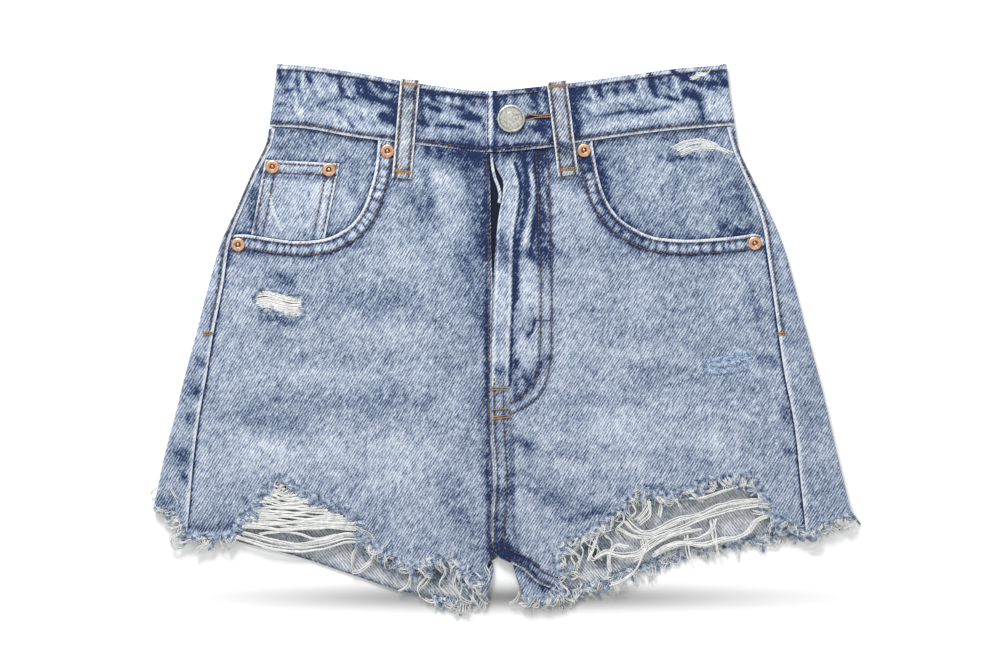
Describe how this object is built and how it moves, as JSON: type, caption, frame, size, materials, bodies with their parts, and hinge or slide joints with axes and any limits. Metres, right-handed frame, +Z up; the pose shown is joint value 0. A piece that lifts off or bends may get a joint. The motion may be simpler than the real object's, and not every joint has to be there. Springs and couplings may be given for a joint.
{
  "type": "denim shorts",
  "caption": "High-rise cut-off denim shorts laid flat front up, with a buttoned waistband, curved front pockets, back pockets, ripped front hems and frayed edges.",
  "frame": {"origin": "on the surface that the shorts lie on, below the middle of their outline", "axes": "+X towards the wearer's left side, +Y from the hems to the waist, +Z up out of the front"},
  "size_m": [0.4886, 0.3833, 0.0116],
  "materials": {
    "denim_front": "stone-washed twill, worn pale on the thighs",
    "denim_back": "stone-washed twill",
    "denim_band": "stone-washed twill, dark beside its seams",
    "zip_tape": "woven tape",
    "fray": "loose cotton yarn",
    "copper": "worn copper",
    "nickel": "tumbled nickel"
  },
  "bodies": {
    "root": {"front_right": "denim_front", "front_left": "denim_front", "hip_panel_right": "denim_front", "hip_panel_left": "denim_front", "coin_pocket": "denim_front", "back_right": "denim_back", "back_left": "denim_back", "yoke_right": "denim_back", "yoke_left": "denim_back", "back_pocket_right": "denim_back", "back_pocket_left": "denim_back", "waistband": "denim_band", "belt_loop_front_right": "denim_band", "belt_loop_front_left": "denim_band", "belt_loop_back_right": "denim_band", "belt_loop_back_centre": "denim_band", "belt_loop_back_left": "denim_band", "fly_shield": "denim_back", "zip": "zip_tape", "rivet_pocket_right_waist": "copper", "rivet_pocket_right_side": "copper", "rivet_pocket_left_waist": "copper", "rivet_pocket_left_side": "copper", "rivet_coin_outer": "copper", "rivet_coin_inner": "copper", "button": "nickel", "fringe_front_right_outer": "fray", "fringe_front_right_inner": "fray", "fringe_front_left_inner": "fray", "fringe_front_left_outer": "fray", "fringe_back_right": "fray", "fringe_back_left": "fray", "fringe_side_right": "fray", "fringe_side_left": "fray"}
  },
  "joints": []
}
